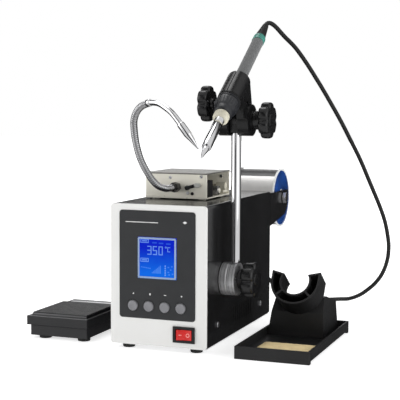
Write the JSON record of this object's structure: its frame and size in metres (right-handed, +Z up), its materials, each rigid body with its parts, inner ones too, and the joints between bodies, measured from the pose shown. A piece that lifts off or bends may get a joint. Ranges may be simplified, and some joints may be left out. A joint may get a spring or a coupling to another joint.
{
  "type": "soldering iron station",
  "caption": "Soldering station: box unit with display, tilting column and iron, solder feeder with spool, foot pedal, and iron stand with sponge.",
  "frame": {"origin": "centre of the main unit's footprint on the bench, at the height of its feet's undersides", "axes": "+X to the unit's right seen from the front, +Y to its rear, +Z up"},
  "size_m": [0.3078, 0.389, 0.3203],
  "materials": {
    "cover_black": "gloss",
    "white_metal": "satin",
    "panel_grey": "satin",
    "display_blue": "gloss",
    "plated_steel": "satin",
    "board_green": "gloss",
    "button_grey": "satin",
    "black_plastic": "satin",
    "red_plastic": "gloss",
    "rubber": "matte",
    "core_steel": "satin",
    "disc_aluminium": "satin",
    "chrome": "polished",
    "knob_black": "gloss",
    "ivory": "satin",
    "collar_grey": "satin",
    "foam_grey": "matte",
    "band_green": "gloss",
    "cord_black": "satin",
    "feeder_cream": "satin",
    "spool_white": "gloss",
    "solder": "satin",
    "pedal_grey": "matte",
    "tray_black": "satin",
    "sponge_yellow": "matte"
  },
  "bodies": {
    "unit": {"base_chassis": "plated_steel", "top_cover": "cover_black", "front_bezel": "white_metal", "control_panel": "panel_grey", "display_glass": "display_blue", "display_module": "board_green", "switch_housing": "black_plastic", "rubber_feet": "rubber", "case_screws": "plated_steel", "transformer": "core_steel", "main_board": "board_green", "mains_inlet": "black_plastic", "panel_sockets": "chrome", "fixed_disc": "disc_aluminium", "feeder_case": "feeder_cream", "feeder_lid": "feeder_cream", "feed_motor": "plated_steel", "guide_block": "black_plastic", "outlet_nut": "black_plastic", "spool_bracket": "cover_black", "spool_axle": "plated_steel", "solder_wire": "solder", "cord_plug": "black_plastic", "iron_cord": "cord_black"},
    "first_button": {"button_1": "button_grey"},
    "second_button": {"button_2": "button_grey"},
    "third_button": {"button_3": "button_grey"},
    "fourth_button": {"button_4": "button_grey"},
    "rocker": {"power_rocker": "red_plastic"},
    "column": {"column_disc": "disc_aluminium", "column_rod": "chrome", "rod_eye": "knob_black"},
    "disc_clamp": {"disc_knob": "knob_black"},
    "holder": {"iron_holder": "knob_black"},
    "tilt_clamp": {"tilt_knob": "knob_black"},
    "sleeve_clamp": {"sleeve_knob": "knob_black"},
    "iron": {"iron_tip": "chrome", "heater_barrel": "chrome", "barrel_nut": "ivory", "grip_collar": "collar_grey", "handle_core": "black_plastic", "foam_grip": "foam_grey", "grip_band": "band_green", "strain_relief": "rubber"},
    "wire_guide": {"gooseneck": "chrome", "guide_nozzle": "chrome"},
    "reel": {"spool": "spool_white", "solder_coil": "solder"},
    "drive": {"drive_roller": "plated_steel"},
    "presser": {"pressure_arm": "plated_steel"},
    "presser_wheel": {"pressure_roller": "plated_steel"},
    "tension": {"tension_knob": "ivory"},
    "pedal": {"pedal_base": "pedal_grey", "pedal_pin": "plated_steel", "pedal_spring": "plated_steel", "pedal_feet": "rubber"},
    "tread": {"pedal_tread": "pedal_grey"},
    "stand": {"stand_tray": "tray_black", "stand_cradle": "tray_black"},
    "sponge_pad": {"sponge": "sponge_yellow"}
  },
  "joints": [
    {"name": "first_button_press", "type": "slide", "parent": "unit", "child": "first_button", "axis": [0, 1, 0], "range_m": [0, 0.0015], "stiffness_N_per_m": 300, "springref_m": -0.0015},
    {"name": "second_button_press", "type": "slide", "parent": "unit", "child": "second_button", "axis": [0, 1, 0], "range_m": [0, 0.0015], "stiffness_N_per_m": 300, "springref_m": -0.0015},
    {"name": "third_button_press", "type": "slide", "parent": "unit", "child": "third_button", "axis": [0, 1, 0], "range_m": [0, 0.0015], "stiffness_N_per_m": 300, "springref_m": -0.0015},
    {"name": "fourth_button_press", "type": "slide", "parent": "unit", "child": "fourth_button", "axis": [0, 1, 0], "range_m": [0, 0.0015], "stiffness_N_per_m": 300, "springref_m": -0.0015},
    {"name": "power_switch", "type": "hinge", "parent": "unit", "child": "rocker", "pos_m": [0.0267, -0.0985, 0.0181], "axis": [0, 0, 1], "range_deg": [-14, 0]},
    {"name": "column_tilt", "type": "hinge", "parent": "unit", "child": "column", "pos_m": [0.061, -0.053, 0.0665], "axis": [1, 0, 0], "range_deg": [-20, 8], "deforming": ["iron_cord"]},
    {"name": "disc_knob_turn", "type": "hinge", "parent": "column", "child": "disc_clamp", "pos_m": [0.078, -0.053, 0.0665], "axis": [1, 0, 0], "range_deg": [-180, 180]},
    {"name": "holder_tilt", "type": "hinge", "parent": "column", "child": "holder", "pos_m": [0.061, -0.053, 0.2195], "axis": [1, 0, 0], "range_deg": [-25, 30]},
    {"name": "tilt_knob_turn", "type": "hinge", "parent": "holder", "child": "tilt_clamp", "pos_m": [0.0885, -0.053, 0.2195], "axis": [1, 0, 0], "range_deg": [-180, 180]},
    {"name": "sleeve_knob_turn", "type": "hinge", "parent": "holder", "child": "sleeve_clamp", "pos_m": [0.0325, -0.057, 0.235], "axis": [1, 0, 0], "range_deg": [-180, 180]},
    {"name": "iron_slide", "type": "slide", "parent": "holder", "child": "iron", "axis": [0, 0.8261, 0.5635], "range_m": [-0.012, 0]},
    {"name": "guide_swivel", "type": "hinge", "parent": "unit", "child": "wire_guide", "pos_m": [-0.0055, -0.051, 0.1526], "axis": [0, 1, 0], "range_deg": [-20, 0]},
    {"name": "reel_spin", "type": "hinge", "parent": "unit", "child": "reel", "pos_m": [0.02225, 0.149, 0.1295], "axis": [1, 0, 0], "continuous": true},
    {"name": "drive_spin", "type": "hinge", "parent": "unit", "child": "drive", "pos_m": [-0.0055, -0.001, 0.1474], "axis": [1, 0, 0], "continuous": true},
    {"name": "presser_lift", "type": "hinge", "parent": "unit", "child": "presser", "pos_m": [0, -0.013, 0.158], "axis": [1, 0, 0], "range_deg": [0, 4], "stiffness_Nm_per_rad": 0.05, "springref_deg": -11.46},
    {"name": "presser_spin", "type": "hinge", "parent": "presser", "child": "presser_wheel", "pos_m": [-0.0055, -0.001, 0.1576], "axis": [1, 0, 0], "continuous": true},
    {"name": "tension_turn", "type": "hinge", "parent": "unit", "child": "tension", "pos_m": [0.022, 0.015, 0.151], "axis": [1, 0, 0], "range_deg": [-180, 180]},
    {"name": "pedal_lift", "type": "slide", "parent": "unit", "child": "pedal", "axis": [0, 0, 1], "range_m": [0, 0.2]},
    {"name": "pedal_press", "type": "hinge", "parent": "pedal", "child": "tread", "pos_m": [-0.113, -0.017, 0.0155], "axis": [1, 0, 0], "range_deg": [0, 3], "stiffness_Nm_per_rad": 1, "springref_deg": -5.73, "deforming": ["pedal_spring"]},
    {"name": "stand_lift", "type": "slide", "parent": "unit", "child": "stand", "axis": [0.7071, 0, 0.7071], "range_m": [0, 0.15]},
    {"name": "sponge_lift", "type": "slide", "parent": "stand", "child": "sponge_pad", "axis": [0, 0, 1], "range_m": [0, 0.03]}
  ],
  "couplings": [
    {"joint": "presser_spin", "follows": "drive_spin", "ratio": -1.0455}
  ]
}
